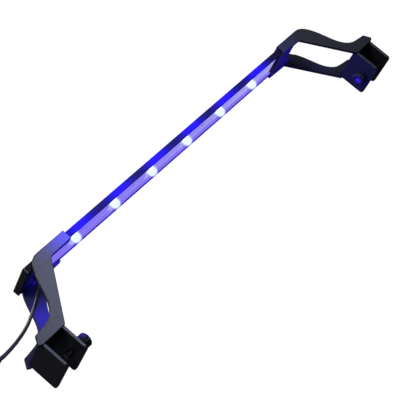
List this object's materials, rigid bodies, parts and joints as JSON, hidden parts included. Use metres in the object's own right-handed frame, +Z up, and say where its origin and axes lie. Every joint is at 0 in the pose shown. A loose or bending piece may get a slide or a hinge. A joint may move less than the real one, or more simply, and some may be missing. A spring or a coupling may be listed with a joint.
{
  "type": "led aquarium light",
  "caption": "Slim lit bar of blue LEDs that slides in two brackets, whose clamps with thumbscrews hold onto the end walls of a fish tank.",
  "frame": {"origin": "on the ground under the middle of the two brackets, whose outer jaw tips stand on Z = 0", "axes": "+X along the bar, away from the end with the cord; +Y across the bar; +Z up, with the LEDs facing down"},
  "size_m": [0.6638, 0.1984, 0.0795],
  "materials": {
    "black_aluminium": "black anodised, satin",
    "board_white": "white solder mask",
    "led_blue": "lit blue LED package with a clear lens",
    "resistor_black": "matt",
    "clear_acrylic": "clear, polished",
    "cap_plastic": "satin moulded",
    "steel": "plain",
    "rubber": "matt",
    "wire_red": "satin",
    "wire_black": "satin",
    "black_plastic": "satin moulded, soft sheen",
    "cord_black": "satin PVC"
  },
  "bodies": {
    "light_bar": {"bar_housing": "black_aluminium", "led_board": "board_white", "led_1": "led_blue", "led_2": "led_blue", "led_3": "led_blue", "led_4": "led_blue", "led_5": "led_blue", "led_6": "led_blue", "resistor_left": "resistor_black", "resistor_right": "resistor_black", "splash_cover": "clear_acrylic", "left_end_cap": "cap_plastic", "right_end_cap": "cap_plastic", "left_cap_screw_front": "steel", "left_cap_screw_back": "steel", "right_cap_screw_front": "steel", "right_cap_screw_back": "steel", "cord_gland": "rubber", "wire_positive": "wire_red", "wire_negative": "wire_black", "supply_cord": "cord_black", "cord_coil": "cord_black", "cord_tail": "cord_black", "cord_tie": "rubber", "dc_plug_grip": "cord_black", "dc_plug_barrel": "steel"},
    "left_bracket": {"left_bracket": "black_plastic"},
    "left_pad": {"left_pad": "rubber"},
    "left_thumbscrew": {"left_thumbscrew": "black_plastic"},
    "right_bracket": {"right_bracket": "black_plastic"},
    "right_pad": {"right_pad": "rubber"},
    "right_thumbscrew": {"right_thumbscrew": "black_plastic"}
  },
  "joints": [
    {"name": "left_bracket_slide", "type": "slide", "parent": "light_bar", "child": "left_bracket", "axis": [-1, 0, 0], "range_m": [-0.01, 0.024]},
    {"name": "left_pad_slide", "type": "slide", "parent": "left_bracket", "child": "left_pad", "axis": [-1, 0, 0], "range_m": [-0.0066, 0.0062]},
    {"name": "left_screw_turn", "type": "hinge", "parent": "left_pad", "child": "left_thumbscrew", "pos_m": [-0.19885, 0, 0.009], "axis": [-1, 0, 0], "range_deg": [-1190, 1118]},
    {"name": "right_bracket_slide", "type": "slide", "parent": "light_bar", "child": "right_bracket", "axis": [1, 0, 0], "range_m": [-0.0327, 0.012]},
    {"name": "right_pad_slide", "type": "slide", "parent": "right_bracket", "child": "right_pad", "axis": [1, 0, 0], "range_m": [-0.0126, 0.0004]},
    {"name": "right_screw_turn", "type": "hinge", "parent": "right_pad", "child": "right_thumbscrew", "pos_m": [0.20485, 0, 0.009], "axis": [1, 0, 0], "range_deg": [-2270, 74]}
  ],
  "couplings": [
    {"joint": "left_screw_turn", "follows": "left_pad_slide", "rad_per_m": 3141.6},
    {"joint": "right_screw_turn", "follows": "right_pad_slide", "rad_per_m": 3141.6}
  ]
}
